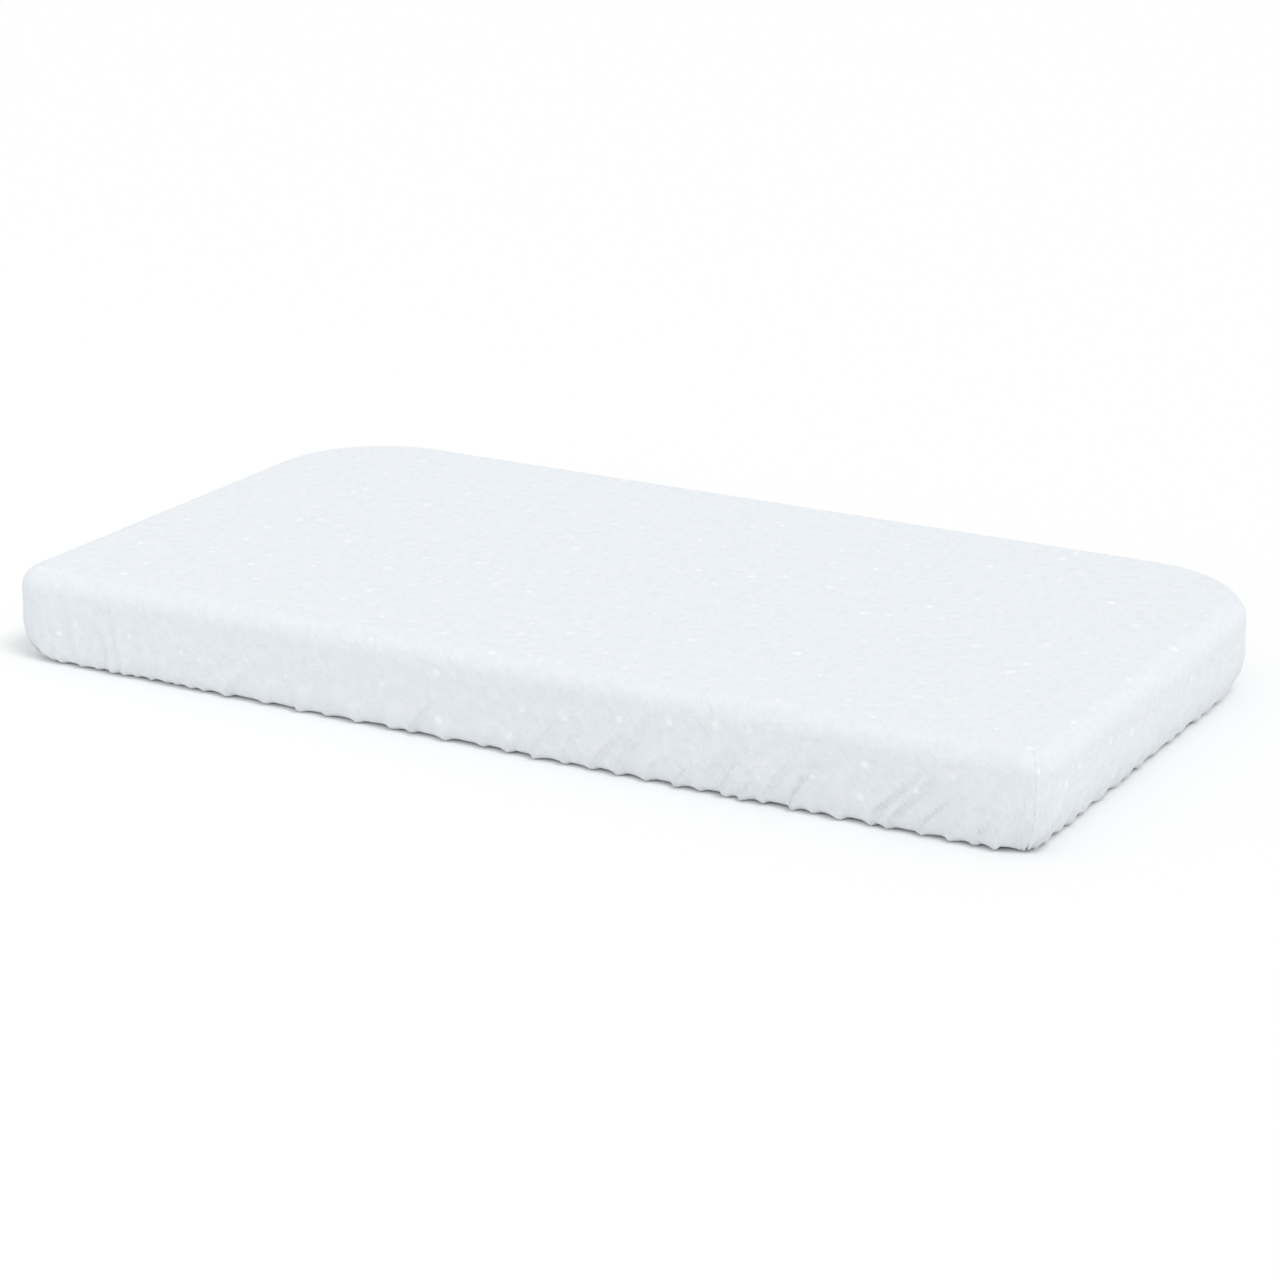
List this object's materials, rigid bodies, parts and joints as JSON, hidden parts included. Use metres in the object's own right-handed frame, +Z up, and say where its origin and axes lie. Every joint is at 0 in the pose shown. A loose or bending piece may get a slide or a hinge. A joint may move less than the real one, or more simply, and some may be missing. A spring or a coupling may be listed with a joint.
{
  "type": "memory foam mattress",
  "caption": "Low D-shaped crib mattress: foam core in a zip-off cover inside a fitted sheet with a gathered elastic hem; the zip slider runs underneath.",
  "frame": {"origin": "centre of the footprint, on the surface that the mattress lies on", "axes": "+X along the length towards the right end, -Y out of the straight front side, +Z up out of the sleeping surface"},
  "size_m": [0.81, 0.43, 0.068],
  "materials": {
    "muslin": "crinkled cotton muslin, matt",
    "seam_thread": "stitched seam, matt",
    "elastic": "braided elastic",
    "label": "blank woven satin",
    "cover_knit": "fine polyester knit",
    "wadding": "loose fibre",
    "zip_tape": "woven tape",
    "zip_coil": "nylon coil",
    "zip_metal": "plated zinc",
    "liner": "thin jersey",
    "memory_foam": "open-cell foam",
    "adhesive": "sprayed glue film",
    "support_foam": "open-cell foam"
  },
  "bodies": {
    "mattress": {"fitted_sheet": "muslin", "sheet_corner_seam_left": "seam_thread", "sheet_corner_seam_right": "seam_thread", "sheet_hem_casing": "muslin", "sheet_hem_elastic": "elastic", "sheet_care_label": "label", "cover_top_panel": "cover_knit", "cover_wadding": "wadding", "cover_border": "cover_knit", "cover_bottom_panel": "cover_knit", "cover_care_label": "label", "zip_tape_front": "zip_tape", "zip_tape_back": "zip_tape", "zip_coil_front": "zip_coil", "zip_coil_back": "zip_coil", "zip_top_stop": "zip_metal", "zip_bottom_stop": "zip_metal", "core_liner": "liner", "memory_foam_layer": "memory_foam", "foam_adhesive": "adhesive", "support_foam_base": "support_foam"},
    "zip_slider": {"zip_slider": "zip_metal"},
    "zip_pull": {"zip_pull_tab": "zip_metal"}
  },
  "joints": [
    {"name": "zip_slide", "type": "slide", "parent": "mattress", "child": "zip_slider", "axis": [-1, 0, 0], "range_m": [0, 0.586]},
    {"name": "zip_pull_hinge", "type": "hinge", "parent": "zip_slider", "child": "zip_pull", "pos_m": [0.293, 0, 0.00235], "axis": [0, -1, 0], "range_deg": [0, 180]}
  ]
}
